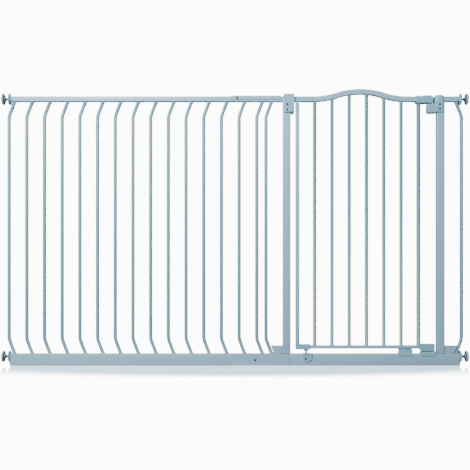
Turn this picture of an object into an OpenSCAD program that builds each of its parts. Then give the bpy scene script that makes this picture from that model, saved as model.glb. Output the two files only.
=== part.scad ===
// Pressure-fit walk-through safety gate: a curved-top door in a welded steel base frame,
// widened by one bolted-on extension panel and clamped between two walls by four spindles.
// +X runs along the gate towards the latch side's wall, +Y to the back and +Z up.
// The origin is on the floor, midway between the wall pads.

/* [Overall] */
// Distance between the faces of the left and right wall pads
overall_w = 1750; // [1724:2:1784]
// Height of the upper face of the flat top rails above the floor
rail_top_z = 1010; // [960:5:1060]
// Length of the base frame's threshold rail
base_w = 720; // [705:1:735]

/* [Frame tubes] */
// Height of the threshold rail
threshold_h = 44; // [40:1:48]
// Depth of the threshold rail, front to back
threshold_d = 25; // [24:1:26]
// Side of the square top rails
top_tube = 20; // [18:1:20]
// Width of the two posts
post_w = 30; // [28:1:32]
// Depth of the two posts
post_d = 25; // [24:1:25]
// Wall thickness of every tube
wall = 1.5; // [1:0.1:2]
// Distance from each end of the base frame to the middle of the nearer post
post_inset = 71; // [68:1:74]

/* [Bars] */
// Outer diameter of the round bars
bar_d = 14; // [12:0.5:15]
// Number of bars in the extension panel
bar_count = 15; // [12:1:16]
// Sideways shift of a bent bar between its middle and its ends
bar_lean = 20.7; // [16:0.1:22]
// Angle of a bent bar's leaning ends
bend_a = 21; // [18:1:24]
// Radius of the bends, on the bar's centre line
bend_r = 60; // [40:5:80]

/* [Door] */
// Distance from the middle of the hinge post to the hinge axis
hinge_offset = 73; // [73:0.5:75]
// Distance the door lifts to leave its catches
lift_travel = 5; // [5:0.1:5.4]
// Rise of the arch above the flat ends of the door's top rail
arch_rise = 28; // [10:1:36]
// Distance from the hinge axis to the crest of the arch
arch_offset = 203; // [195:1:205]
// Half the length of the arch
arch_half = 176; // [160:1:176]
// Height of the door's bottom rail
door_rail_h = 12; // [10:1:14]

/* [Spindles] */
// Diameter of the threaded spindles
spindle_d = 10; // [8:0.5:10]
// Diameter of the hand nuts
nut_d = 44; // [38:1:44]
// Diameter of the wall pads
pad_d = 44; // [40:1:44]
// Height of the lower spindles above the floor
low_spindle_z = 33; // [32:1:33]

/* [Hidden] */

$fn = 48;

STEEL = [0.66, 0.73, 0.77];
PLASTIC = [0.60, 0.69, 0.73];
DARK = [0.16, 0.21, 0.24];
ZINC = [0.55, 0.58, 0.60];

// Running clearance of pins and shafts, on the radius
run = 0.05;
// Gap between neighbouring parts that don't touch
gap = 0.3;
// A little extra length for cutters
over = 1;

// Rails and posts
tube_end_x = overall_w / 2 - 32;
top_end_x = tube_end_x - 6;
base_x = tube_end_x - base_w;
hinge_post_x = base_x + post_inset;
latch_post_x = tube_end_x - post_inset;
top_rail_z = rail_top_z - top_tube;
top_axis_z = rail_top_z - top_tube / 2;

// Bent bars
bend_run = bend_r * tan(bend_a / 2);
kink_h = bar_lean / tan(bend_a);
outer_left_x = base_x - 6.5;
outer_right_x = tube_end_x + 9;
bar_first_x = -tube_end_x - 7;
bar_last_x = base_x - 41;
bar_pitch = (bar_last_x - bar_first_x) / (bar_count - 1);

// Door
hinge_x = hinge_post_x + hinge_offset;
hinge_stile_x = hinge_x - 32.3;
latch_stile_x = latch_post_x - 82;
stile_w = 15;
latch_stile_d = 16;
door_bar_count = 6;
upright_pitch = (latch_stile_x - hinge_stile_x) / (door_bar_count + 1);
arch_x = hinge_x + arch_offset;
arch_a = 2 * atan(arch_rise / arch_half);
arch_r = arch_half / 2 / sin(arch_a);
door_rail_z = 62.5;
door_rail_d = 20;
rail_start_x = hinge_x + 24;
handle_x0 = latch_stile_x - 11;
handle_x1 = latch_stile_x + 52;
door_rail_end_x = handle_x0 + 22.5;

// Hinges
pin_r = 4;
arm_t = 5.7;
arm_w = 16;
arm_z = rail_top_z - arm_t;
slide_x = hinge_post_x + post_w / 2 + 2;
slide_t = 5;
bracket_x1 = hinge_post_x + 28.7;
hinge_block_z = 59;
hinge_block_h = 20;
socket_top_z = threshold_h + 1.5;
socket_screw_x = hinge_x - 2.5;
socket_screw_z = 26;
socket_proud = 3;

// Latch
housing_d = 28;
housing_z = top_rail_z - 7;
housing_top_z = rail_top_z + 1.5;
bolt_w = 9;
bolt_z = top_rail_z + 1;
bolt_h = 13;
keeper_top_z = housing_z - 1.5;
lug_h = 4.5;
foot_x0 = latch_stile_x + 2;
foot_x1 = latch_stile_x + 60;
foot_z = 53.5;
catch_x0 = foot_x0 + 5;
catch_x1 = foot_x1 + 3;

// Brackets and connectors
bracket_d = 34;
cap_t = 1;
top_bolt_x = base_x - 115;
low_bolt_x = base_x - 48;
low_bolt_z = 21.5;

// Spindles
nut_x = tube_end_x + 1;
nut_t = 7;
pad_x = overall_w / 2 - 14;
pad_t = 7;
pad_hub_r = 9;
spindle_x0 = latch_post_x + post_w / 2 + 6;

// A block between two corners
module block(x0, x1, y0, y1, z0, z1) {
  translate([x0, y0, z0]) cube([x1 - x0, y1 - y0, z1 - z0]);
}

// A block centred front to back
module bar_block(x0, x1, d, z0, z1) {
  block(x0, x1, -d / 2, d / 2, z0, z1);
}

// Rectangular tube lying along X, open at both ends
module tube_along_x(x0, x1, d, z0, h) {
  difference() {
    bar_block(x0, x1, d, z0, z0 + h);
    bar_block(x0 - over, x1 + over, d - 2 * wall, z0 + wall, z0 + h - wall);
  }
}

// Rectangular tube standing upright, open at both ends
module tube_upright(x, w, d, z0, z1) {
  difference() {
    bar_block(x - w / 2, x + w / 2, d, z0, z1);
    bar_block(x - w / 2 + wall, x + w / 2 - wall, d - 2 * wall, z0 - over, z1 + over);
  }
}

// Upright cylinder or round hole
module post(x, r, z0, z1) {
  translate([x, 0, z0]) cylinder(r = r, h = z1 - z0);
}

// Cylinder along Y from y0 to y1
module rod_along_y(x, z, r, y0, y1) {
  translate([x, y0, z]) rotate([-90, 0, 0]) cylinder(r = r, h = y1 - y0);
}

// Cylinder along X from x0 to x1
module rod_along_x(x0, x1, z, r) {
  translate([x0, 0, z]) rotate([0, 90, 0]) cylinder(r = r, h = x1 - x0);
}

// A flat outline in X and Z, given thickness d front to back
module plate_xz(d) {
  translate([0, d / 2, 0]) rotate([90, 0, 0]) linear_extrude(d) children();
}

// A flat outline in Y and Z, stretched along X from x0 to x1
module profile_along_x(x0, x1) {
  translate([x0, 0, 0]) rotate([90, 0, 90]) linear_extrude(x1 - x0) children();
}

// Sweeps a profile about a centre in the XZ plane, from angle a0 through angle a
module sweep_xz(x, z, a0, a) {
  translate([x, 0, z]) rotate([90, 0, 0]) rotate(a0) rotate_extrude(angle = a) children();
}

// Rectangle with round corners, centred
module round_rect(w, h, r) {
  square([w - 2 * r, h], center = true);
  square([w, h - 2 * r], center = true);
  for (i = [-1, 1], j = [-1, 1])
    translate([i * (w / 2 - r), j * (h / 2 - r)]) circle(r, $fn = 32);
}

// Upper half of a bent bar about its own middle line, leaning towards +X at the top.
// The bend is a hair fatter than the straight stretches and laps over both of them.
module leaning_end(r, upright_h) {
  lap_a = 1.5;
  fatter = 0.1;
  translate([0, 0, -over]) cylinder(r = r, h = upright_h + over);
  sweep_xz(bend_r, upright_h, 180 - bend_a - lap_a, bend_a + 2 * lap_a)
    translate([bend_r, 0]) circle(r + fatter);
  translate([bend_r * (1 - cos(bend_a)), 0, upright_h + bend_r * sin(bend_a)])
    rotate([0, bend_a, 0]) cylinder(r = r, h = kink_h * 1.3);
}

// Bent round tube between the bottom and top rails, leaning to one side at both ends
module bent_bar(x, side) {
  mid_z = (threshold_h + top_rail_z) / 2;
  upright_h = top_rail_z - mid_z - kink_h - bend_run;
  intersection() {
    translate([x, 0, mid_z]) mirror([side < 0 ? 1 : 0, 0, 0]) difference() {
      union() {
        leaning_end(bar_d / 2, upright_h);
        mirror([0, 0, 1]) leaning_end(bar_d / 2, upright_h);
      }
      leaning_end(bar_d / 2 - 1, upright_h);
      mirror([0, 0, 1]) leaning_end(bar_d / 2 - 1, upright_h);
    }
    bar_block(x - 60, x + 60, 40, threshold_h, top_rail_z);
  }
}

// ---------- Base frame ----------

module threshold_rail() {
  color(STEEL) difference() {
    tube_along_x(base_x, tube_end_x, threshold_d, 0, threshold_h);
    post(hinge_x, 8 + gap, threshold_h - 2 * wall, threshold_h + over);
    rod_along_y(socket_screw_x, socket_screw_z, 2, -threshold_d, 0);
    connector_holes();
  }
}

module frame_post(x) {
  color(STEEL) difference() {
    tube_upright(x, post_w, post_d, threshold_h, rail_top_z);
    bracket_screw_holes(2);
  }
}

module hinge_post() {
  frame_post(hinge_post_x);
}

module latch_post() {
  frame_post(latch_post_x);
}

module post_cap(x) {
  bar_block(x - post_w / 2, x + post_w / 2, post_d, rail_top_z, rail_top_z + cap_t);
  bar_block(x - post_w / 2 + 2, x + post_w / 2 - 2, post_d - 4, rail_top_z - 12, rail_top_z);
}

module post_caps() {
  color(PLASTIC) {
    post_cap(hinge_post_x);
    post_cap(latch_post_x);
  }
}

module hinge_side_top_rail() {
  color(STEEL) difference() {
    tube_along_x(base_x, hinge_post_x - post_w / 2, top_tube, top_rail_z, top_tube);
    connector_holes();
  }
}

module latch_side_top_rail() {
  color(STEEL) tube_along_x(latch_post_x + post_w / 2, top_end_x, top_tube, top_rail_z, top_tube);
}

module hinge_side_outer_bar() {
  color(STEEL) bent_bar(outer_left_x, 1);
}

module latch_side_outer_bar() {
  color(STEEL) bent_bar(outer_right_x, -1);
}

// Raised cover on the threshold between a post and the leaning foot of the outer bar
module gusset(post_face, bar_foot, side) {
  reach = side * 8.4;
  rise = 30;
  plate_xz(top_tube) polygon([
    [post_face, threshold_h],
    [bar_foot + reach, threshold_h],
    [bar_foot + reach - side * rise * tan(bend_a), threshold_h + rise],
    [post_face, threshold_h + rise]
  ]);
}

module hinge_side_gusset() {
  color(STEEL) gusset(hinge_post_x - post_w / 2, outer_left_x + bar_lean, 1);
}

module latch_side_gusset() {
  color(STEEL) gusset(latch_post_x + post_w / 2, outer_right_x - bar_lean, -1);
}

// ---------- Extension panel ----------

module connector_holes() {
  rod_along_y(top_bolt_x, top_axis_z + 4, 2.6, -20, 20);
  rod_along_y(low_bolt_x, low_bolt_z, 2.6, -20, 20);
}

module extension_top_rail() {
  color(STEEL) difference() {
    tube_along_x(-top_end_x, base_x, top_tube, top_rail_z, top_tube);
    connector_holes();
  }
}

module extension_bottom_rail() {
  color(STEEL) difference() {
    tube_along_x(-tube_end_x, base_x, threshold_d, 0, threshold_h);
    connector_holes();
  }
}

module extension_bars() {
  color(STEEL) for (i = [0 : bar_count - 1])
    bent_bar(bar_first_x + i * bar_pitch, 1);
}

// Channel that saddles both top rails where they meet
module top_connector() {
  x0 = base_x - 138;
  x1 = base_x + 48;
  t = 2;
  color(STEEL) difference() {
    union() {
      bar_block(x0, x1, top_tube + 2 * t, rail_top_z - 12, rail_top_z + t);
      bar_block(x0 + 29, x1 - 1, top_tube + 2 * t + 1.6, rail_top_z - 9, rail_top_z + t);
    }
    bar_block(x0 - over, x1 + over, top_tube, 0, rail_top_z);
    connector_holes();
  }
}

// Two plates that clamp the meeting ends of the bottom rails
module bottom_connector() {
  x0 = base_x - 138;
  x1 = base_x + 81;
  t = 1.6;
  color(STEEL) difference() {
    union() for (y = [-threshold_d / 2 - t, threshold_d / 2])
      block(x0, x1, y, y + t, 0.5, threshold_h - 0.5);
    connector_holes();
  }
}

// Button-headed bolt through a rail, with its nut at the back
module through_bolt(x, z, d) {
  rod_along_y(x, z, 2.5, -d / 2 - 1, d / 2 + 3);
  rod_along_y(x, z, 4.5, -d / 2 - 2, -d / 2);
  translate([x, d / 2, z]) rotate([-90, 30, 0]) cylinder(r = 4.6, h = 3, $fn = 6);
}

module connector_bolts() {
  color(DARK) {
    through_bolt(top_bolt_x, top_axis_z + 4, top_tube + 4);
    through_bolt(low_bolt_x, low_bolt_z, threshold_d + 3.2);
  }
}

// ---------- Hinges ----------

// Places of the bracket screws as [x, z, y of the surface under the head]
bracket_screw_list = [
  [hinge_post_x + 1.5, rail_top_z - 31.5, -bracket_d / 2],
  [hinge_post_x + 1.5, rail_top_z - 51.5, -bracket_d / 2],
  [latch_post_x - 5.5, rail_top_z - 31.5, -bracket_d / 2],
  [latch_post_x - 5.5, rail_top_z - 47.5, -bracket_d / 2],
  [socket_screw_x, socket_screw_z, -threshold_d / 2 - socket_proud]
];

module bracket_screw_holes(r) {
  for (s = bracket_screw_list)
    rod_along_y(s.x, s.y, r, -bracket_d, 0);
}

// Pan-headed screws that hold the brackets, one shape in five places
module bracket_screws() {
  color(DARK) for (s = bracket_screw_list) {
    rod_along_y(s.x, s.y, 2, s.z, s.z + 10);
    rod_along_y(s.x, s.y, 3.8, s.z - 1.4, s.z);
  }
}

// Hollow a bracket leaves for the post it covers
module post_hollow(x) {
  side = post_w / 2 + gap;
  bar_block(x - side, x + side, post_d + 2 * gap, 0, rail_top_z + cap_t + gap);
}

// Body of a bracket, with round corners as seen from the front
module bracket_body(x0, x1, z0, z1, r) {
  plate_xz(bracket_d) translate([(x0 + x1) / 2, (z0 + z1) / 2]) round_rect(x1 - x0, z1 - z0, r);
}

// Moulded cover on the hinge post that guides the lifting upper arm
module upper_hinge_bracket() {
  z0 = rail_top_z - 61;
  roof_z = rail_top_z + lift_travel + 3;
  color(PLASTIC) difference() {
    union() {
      bracket_body(hinge_post_x - 11, bracket_x1, z0, roof_z, 2.5);
      bar_block(slide_x, bracket_x1, bracket_d - 10, z0 - 4, z0);
    }
    difference() {
      post_hollow(hinge_post_x);
      bar_block(slide_x - 1.5, bracket_x1, bracket_d, 0, roof_z);
    }
    bar_block(slide_x - 0.5, slide_x + slide_t + 0.5, 24, z0 + 10, rail_top_z + lift_travel + 0.5);
    bar_block(slide_x, bracket_x1 + over, arm_w + 2 * gap, arm_z - 0.5,
              rail_top_z + lift_travel + 0.5);
    bracket_screw_holes(2);
  }
}

// Plate that slides up and down in the bracket, with the arm that carries the upper pin
module upper_hinge_arm() {
  color(PLASTIC) difference() {
    union() {
      bar_block(slide_x, slide_x + slide_t, 22, rail_top_z - 46, rail_top_z);
      bar_block(slide_x, hinge_x, arm_w, arm_z, rail_top_z);
      post(hinge_x, 9, arm_z, rail_top_z);
    }
    post(hinge_x, pin_r, arm_z - over, rail_top_z + over);
  }
}

module upper_hinge_pin() {
  color(ZINC) post(hinge_x, pin_r, top_rail_z + 2.5, rail_top_z);
}

// Pin with two flats at its foot, so it slides in the socket and doesn't turn
module lower_hinge_pin() {
  color(ZINC) {
    post(hinge_x, pin_r, 30, hinge_block_z + hinge_block_h - 2.5);
    intersection() {
      post(hinge_x, pin_r, 14, 30);
      bar_block(hinge_x - 3.2, hinge_x + 3.2, 20, 14, 30);
    }
  }
}

// Insert in the top of the threshold with a screwed tab down its front face
module lower_hinge_socket() {
  front_y = -threshold_d / 2;
  color(PLASTIC) difference() {
    union() {
      post(hinge_x, 8, 11, socket_top_z);
      block(hinge_x - 11, hinge_x + 22, front_y - socket_proud, 10, threshold_h, socket_top_z);
      block(hinge_x - 11, hinge_x + 22, front_y - socket_proud, front_y, 27, threshold_h);
      rod_along_y(hinge_x + 2, 26, 13, front_y - socket_proud, front_y);
      block(hinge_x + 2, hinge_x + 22, front_y - socket_proud, front_y, 20, 27);
    }
    post(hinge_x, pin_r + run, 30, socket_top_z + over);
    intersection() {
      post(hinge_x, pin_r + run, 13, 30 + over / 2);
      bar_block(hinge_x - 3.2 - run, hinge_x + 3.2 + run, 20, 13, 30 + over / 2);
    }
    rod_along_y(socket_screw_x, socket_screw_z, 2, front_y - 10, 0);
  }
}

// ---------- Catches on the frame ----------

// Moulded cover on the latch post with the slotted wall for the bolt and the keeper arm
module catch_bracket() {
  x0 = latch_post_x - 23;
  x1 = latch_post_x + 6.5;
  arm_x0 = x0 - 27.5;
  z0 = rail_top_z - 60;
  roof_z = rail_top_z + cap_t + 2.5;
  color(PLASTIC) difference() {
    union() {
      bracket_body(x0, x1, z0, roof_z, 5);
      bar_block(arm_x0, x0 + 5, bracket_d - 4, z0 - 3, keeper_top_z);
    }
    post_hollow(latch_post_x);
    bar_block(x0 - over, latch_post_x - post_w / 2 - 1.2, bolt_w + 1, bolt_z - 0.5,
              bolt_z + bolt_h + lift_travel + 0.5);
    bar_block(arm_x0 + 3, x0 - 11, 11, keeper_top_z - lug_h - 0.3, keeper_top_z + over);
    for (side = [-1, 1])
      translate([arm_x0 - over, side * (bracket_d / 2 - 2), keeper_top_z])
        rotate([45, 0, 0]) translate([0, -3.5, -3.5]) cube([x0 - arm_x0, 7, 7]);
    bracket_screw_holes(2);
  }
}

// Clip that saddles the threshold rail between x0 and x1
module threshold_clip(x0, x1) {
  t = 2;
  difference() {
    bar_block(x0, x1, threshold_d + 2 * t, threshold_h - 9, threshold_h + t);
    bar_block(x0 - over, x1 + over, threshold_d, 0, threshold_h);
  }
}

// Clip with two ramps and the groove between them that holds the door's foot
module floor_catch() {
  base_z = threshold_h + 2;
  top_z = foot_z - 1;
  color(PLASTIC) {
    threshold_clip(catch_x0, catch_x1);
    profile_along_x(catch_x0, catch_x1) for (side = [-1, 1])
      polygon([
        [side * 12, base_z],
        [side * 5.9, top_z],
        [side * 4, base_z + 1],
        [side * 4, base_z]
      ]);
  }
}

// Clip with a block that stands just under the door's bottom rail
module door_rest_block() {
  x0 = latch_stile_x - 76;
  x1 = x0 + 54;
  color(PLASTIC) {
    threshold_clip(x0, x1);
    bar_block(x0 + 2, x1 - 2, 18, threshold_h + 2, door_rail_z - 1.5);
  }
}

// ---------- Tube ends, spindles, nuts and pads ----------

// Places a part made for the right-hand wall on either side
module on_side(side) {
  mirror([side < 0 ? 1 : 0, 0, 0]) children();
}

module top_bush() {
  inner = top_tube - 2 * wall - 0.4;
  difference() {
    union() {
      bar_block(top_end_x - 15, top_end_x, inner, top_axis_z - inner / 2, top_axis_z + inner / 2);
      translate([top_end_x, 0, top_axis_z]) rotate([0, 90, 0])
        cylinder(r1 = 9, r2 = 12.5, h = nut_x - top_end_x);
    }
    rod_along_x(top_end_x - 20, nut_x + over, top_axis_z, spindle_d / 2 + gap);
  }
}

module top_tube_bushes() {
  color(PLASTIC) for (side = [-1, 1])
    on_side(side) top_bush();
}

module bottom_bush() {
  inner_d = threshold_d - 2 * wall - 0.4;
  z1 = threshold_h - wall - 0.2;
  difference() {
    union() {
      bar_block(tube_end_x - 15, tube_end_x, inner_d, wall + 0.2, z1);
      bar_block(tube_end_x, nut_x, threshold_d, 0.5, threshold_h);
    }
    rod_along_x(tube_end_x - 20, nut_x + over, low_spindle_z, spindle_d / 2 + gap);
  }
}

module bottom_tube_bushes() {
  color(PLASTIC) for (side = [-1, 1])
    on_side(side) bottom_bush();
}

module spindle(z, side) {
  color(DARK) on_side(side) rod_along_x(spindle_x0, pad_x + 10, z, spindle_d / 2);
}

module spindle_top_left() {
  spindle(top_axis_z, -1);
}

module spindle_bottom_left() {
  spindle(low_spindle_z, -1);
}

module spindle_top_right() {
  spindle(top_axis_z, 1);
}

module spindle_bottom_right() {
  spindle(low_spindle_z, 1);
}

// Hand nut with a scalloped rim, turning on the spindle against the end of the tube
module hand_nut(z, side) {
  scallops = 12;
  r = nut_d / 2;
  color(PLASTIC) on_side(side) translate([nut_x, 0, z]) rotate([0, 90, 0]) difference() {
    rotate_extrude() polygon([
      [spindle_d / 2 + run, 0], [r - 2, 0], [r, 1.5],
      [r, nut_t - 2], [r - 2, nut_t], [spindle_d / 2 + run, nut_t]
    ]);
    for (i = [0 : scallops - 1])
      rotate(i * 360 / scallops) translate([r + 2, 0, -over]) cylinder(r = 3.4, h = nut_t + 2 * over);
  }
}

module hand_nut_top_left() {
  hand_nut(top_axis_z, -1);
}

module hand_nut_bottom_left() {
  hand_nut(low_spindle_z, -1);
}

module hand_nut_top_right() {
  hand_nut(top_axis_z, 1);
}

module hand_nut_bottom_right() {
  hand_nut(low_spindle_z, 1);
}

// Pad on the end of a spindle that presses on the wall
module wall_pad(z, side) {
  r = pad_d / 2;
  h = overall_w / 2 - pad_x;
  color(PLASTIC) on_side(side) translate([pad_x, 0, z]) rotate([0, 90, 0]) difference() {
    rotate_extrude() polygon([
      [0, 0], [pad_hub_r, 0], [pad_hub_r, h - pad_t - 1], [r - 3, h - pad_t],
      [r, h - pad_t + 2], [r, h - 2], [r - 2, h], [0, h]
    ]);
    translate([0, 0, -over]) cylinder(r = spindle_d / 2, h = 10 + over);
  }
}

module wall_pad_top_left() {
  wall_pad(top_axis_z, -1);
}

module wall_pad_bottom_left() {
  wall_pad(low_spindle_z, -1);
}

module wall_pad_top_right() {
  wall_pad(top_axis_z, 1);
}

module wall_pad_bottom_right() {
  wall_pad(low_spindle_z, 1);
}

// ---------- Door ----------

// Height of the arch's centre line above the flat rail at x
function arch_height(x) =
  let (d = abs(x - arch_x))
  d >= arch_half ? 0 :
  d >= arch_half / 2 ? arch_r - sqrt(arch_r ^ 2 - (arch_half - d) ^ 2) :
  arch_rise - arch_r + sqrt(arch_r ^ 2 - d ^ 2);

// Slope of the arch at x, in degrees, rising towards the crest
function arch_slope(x) =
  let (d = abs(x - arch_x))
  let (along = d >= arch_half ? 0 : d >= arch_half / 2 ? arch_half - d : d)
  sign(arch_x - x) * asin(along / arch_r);

// Point at distance off above the arch's centre line, square to it
function arch_point(x, off) =
  [x - off * sin(arch_slope(x)), top_axis_z + arch_height(x) + off * cos(arch_slope(x))];

// Square rod of side s along the door's whole top rail, from x0 to x1
module arch_rod(s, x0, x1) {
  steps = 36;
  step = 2 * arch_half / steps;
  xs = [x0, for (i = [0 : steps]) arch_x - arch_half + i * step, x1];
  plate_xz(s) polygon([
    for (x = xs) arch_point(x, -s / 2),
    for (i = [len(xs) - 1 : -1 : 0]) arch_point(xs[i], s / 2)
  ]);
}

module door_top_rail() {
  color(STEEL) difference() {
    arch_rod(top_tube, rail_start_x, door_rail_end_x);
    arch_rod(top_tube - 2 * wall, rail_start_x - over, door_rail_end_x + over);
  }
}

module door_bottom_rail() {
  x0 = hinge_x + 16.6;
  color(STEEL) tube_along_x(x0, foot_x0, door_rail_d, door_rail_z, door_rail_h);
}

module door_hinge_stile() {
  z0 = hinge_block_z + hinge_block_h;
  color(STEEL) tube_upright(hinge_stile_x, stile_w, stile_w, z0, top_rail_z);
}

module door_latch_stile() {
  z0 = door_rail_z + door_rail_h;
  color(STEEL) difference() {
    post(latch_stile_x, latch_stile_d / 2, z0, housing_z);
    post(latch_stile_x, latch_stile_d / 2 - 1, z0 - over, housing_z + over);
  }
}

// Upright round tube of the door, cut to the underside of the arched rail
module door_bar(i) {
  x = hinge_stile_x + i * upright_pitch;
  z0 = door_rail_z + door_rail_h;
  color(STEEL) difference() {
    post(x, bar_d / 2, z0, top_axis_z + arch_height(x));
    post(x, bar_d / 2 - 1, z0 - over, rail_top_z + arch_rise);
    arch_rod(top_tube, rail_start_x, door_rail_end_x);
  }
}

module door_bar_1() {
  door_bar(1);
}

module door_bar_2() {
  door_bar(2);
}

module door_bar_3() {
  door_bar(3);
}

module door_bar_4() {
  door_bar(4);
}

module door_bar_5() {
  door_bar(5);
}

module door_bar_6() {
  door_bar(6);
}

// Moulded corner that joins the hinge stile and the top rail and turns on the upper pin
module door_upper_hinge_block() {
  step_x = hinge_x + arm_w / 2 + 0.5;
  swing_r = 43.5;
  plug = top_tube - 2 * wall - 0.4;
  color(PLASTIC) difference() {
    intersection() {
      union() {
        bar_block(hinge_x - swing_r, rail_start_x, top_tube, top_rail_z, arm_z - gap);
        bar_block(step_x, rail_start_x, top_tube, top_rail_z, rail_top_z);
        bar_block(rail_start_x, rail_start_x + 13, plug, top_axis_z - plug / 2,
                  top_axis_z + plug / 2);
      }
      post(hinge_x, swing_r, top_rail_z - over, rail_top_z + over);
    }
    post(hinge_x, 9 + 0.4, arm_z - gap, rail_top_z + over);
    post(hinge_x, pin_r + run, top_rail_z + 2, rail_top_z + over);
  }
}

// Moulded corner that joins the hinge stile and the bottom rail, with the lower pin's boss
module door_lower_hinge_block() {
  top_z = hinge_block_z + hinge_block_h;
  end_x = hinge_x + 16.6;
  color(PLASTIC) difference() {
    union() {
      bar_block(hinge_x - 39.6, end_x, door_rail_d, hinge_block_z, top_z);
      bar_block(end_x, end_x + 14, door_rail_d - 2 * wall - 0.4, door_rail_z + wall + 0.2,
                door_rail_z + door_rail_h - wall - 0.2);
      intersection() {
        translate([hinge_x, 0, hinge_block_z + 0.5]) sphere(r = 9);
        post(hinge_x, 10, hinge_block_z - 7, hinge_block_z + over);
      }
    }
    post(hinge_x, pin_r + run, 0, top_z - 2.5);
    post(hinge_x, 8, hinge_block_z + 3, top_z - 4);
  }
}

// Torsion spring wound round the lower pin, as the sleeve its coils fill
module door_closing_spring() {
  color(ZINC) difference() {
    post(hinge_x, 7, hinge_block_z + 3.3, hinge_block_z + hinge_block_h - 4.5);
    post(hinge_x, 5, 0, 200);
  }
}

// ---------- Handle ----------

// The whole handle casing, before it is split into its front and back shells
module handle_casing() {
  mid_z = (housing_z + housing_top_z) / 2;
  slot_x = handle_x0 + 31;
  difference() {
    union() {
      profile_along_x(handle_x0, handle_x1) translate([0, mid_z])
        round_rect(housing_d, housing_top_z - housing_z, 5);
      profile_along_x(handle_x1 - 17, handle_x1 - 5) polygon([
        [-5, housing_z + over], [-4, housing_z - lug_h + 0.5],
        [4, housing_z - lug_h + 0.5], [5, housing_z + over]
      ]);
    }
    bar_block(handle_x0 - over, door_rail_end_x, top_tube, top_rail_z, rail_top_z);
    bar_block(door_rail_end_x + 2, handle_x1 + over, bolt_w + 2 * run, bolt_z - run,
              bolt_z + bolt_h + run);
    bar_block(slot_x, slot_x + 18, 6.2, bolt_z + over, housing_top_z + over);
    handle_screw_holes(1.5);
  }
}

module handle_screw_holes(r) {
  for (x = [handle_x0 + 8, handle_x1 - 26]) {
    rod_along_y(x, housing_z + 3.5, r, -housing_d / 2 + 4, housing_d);
    rod_along_y(x, housing_z + 3.5, 2.8, housing_d / 2 - 4, housing_d);
  }
}

module handle_front_shell() {
  color(PLASTIC) intersection() {
    handle_casing();
    block(0, overall_w, -housing_d, 0, 0, rail_top_z + 100);
  }
}

module handle_back_shell() {
  color(PLASTIC) intersection() {
    handle_casing();
    block(0, overall_w, 0, housing_d, 0, rail_top_z + 100);
  }
}

module handle_screws() {
  color(DARK) for (x = [handle_x0 + 8, handle_x1 - 26]) {
    rod_along_y(x, housing_z + 3.5, 1.5, -housing_d / 2 + 4, housing_d / 2 - 2);
    rod_along_y(x, housing_z + 3.5, 2.7, housing_d / 2 - 4, housing_d / 2 - 1);
  }
}

// Ribbed button on the handle, with the stem that draws the bolt back
module thumb_slider() {
  x0 = handle_x0 + 28;
  ribs = 5;
  z0 = housing_top_z + gap;
  stem_x = handle_x0 + 40;
  color(PLASTIC) {
    difference() {
      bar_block(x0, x0 + 30, 16, z0, z0 + 3);
      for (i = [0 : ribs - 1])
        translate([x0 + 7 + i * 4, 0, z0 + 3]) rotate([0, 45, 0]) cube([1.6, 20, 1.6], center = true);
    }
    bar_block(stem_x, stem_x + 8, 6, bolt_z + bolt_h - 4, z0);
  }
}

// Spring-loaded bolt that reaches into the slot of the catch bracket
module latch_bolt() {
  x0 = handle_x0 + 37;
  x1 = handle_x1 + 12;
  stem_x = handle_x0 + 40;
  color(PLASTIC) difference() {
    bar_block(x0, x1, bolt_w, bolt_z, bolt_z + bolt_h);
    bar_block(stem_x, stem_x + 8, 6, bolt_z + bolt_h - 4, rail_top_z);
    for (side = [-1, 1])
      translate([x1, side * bolt_w / 2, bolt_z + bolt_h / 2])
        rotate(45) cube([4, 4, bolt_h + 2], center = true);
  }
}

// Compression spring behind the bolt, as the sleeve its coils fill
module bolt_spring() {
  z = bolt_z + bolt_h / 2;
  color(ZINC) difference() {
    rod_along_x(door_rail_end_x + 2, handle_x0 + 37, z, 4);
    rod_along_x(door_rail_end_x, handle_x0 + 40, z, 2.8);
  }
}

// Foot at the door's lower free corner, with the wedge that sits in the floor catch
module latch_foot() {
  plug_d = door_rail_d - 2 * wall - 0.4;
  z1 = foot_z + 27;
  color(PLASTIC) {
    difference() {
      bar_block(foot_x0, foot_x1, 22, foot_z, z1);
      translate([foot_x0, 0, foot_z]) rotate([0, 45, 0]) cube([12, 40, 12], center = true);
      post(latch_stile_x, latch_stile_d / 2 + gap, door_rail_z + door_rail_h - gap, z1 + over);
    }
    profile_along_x(catch_x0 + 2, foot_x1) polygon([
      [-5, foot_z], [-2.6, foot_z - lug_h + 0.5], [2.6, foot_z - lug_h + 0.5], [5, foot_z]
    ]);
    bar_block(foot_x0 - 14, foot_x0, plug_d, door_rail_z + wall + 0.2,
              door_rail_z + door_rail_h - wall - 0.2);
  }
}

threshold_rail();
hinge_post();
latch_post();
post_caps();
hinge_side_top_rail();
latch_side_top_rail();
hinge_side_outer_bar();
latch_side_outer_bar();
hinge_side_gusset();
latch_side_gusset();
extension_top_rail();
extension_bottom_rail();
extension_bars();
top_connector();
bottom_connector();
connector_bolts();
upper_hinge_bracket();
upper_hinge_arm();
upper_hinge_pin();
lower_hinge_pin();
lower_hinge_socket();
bracket_screws();
catch_bracket();
floor_catch();
door_rest_block();
top_tube_bushes();
bottom_tube_bushes();
spindle_top_left();
spindle_bottom_left();
spindle_top_right();
spindle_bottom_right();
hand_nut_top_left();
hand_nut_bottom_left();
hand_nut_top_right();
hand_nut_bottom_right();
wall_pad_top_left();
wall_pad_bottom_left();
wall_pad_top_right();
wall_pad_bottom_right();
door_top_rail();
door_bottom_rail();
door_hinge_stile();
door_latch_stile();
door_bar_1();
door_bar_2();
door_bar_3();
door_bar_4();
door_bar_5();
door_bar_6();
door_upper_hinge_block();
door_lower_hinge_block();
door_closing_spring();
handle_front_shell();
handle_back_shell();
handle_screws();
thumb_slider();
latch_bolt();
bolt_spring();
latch_foot();
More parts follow.
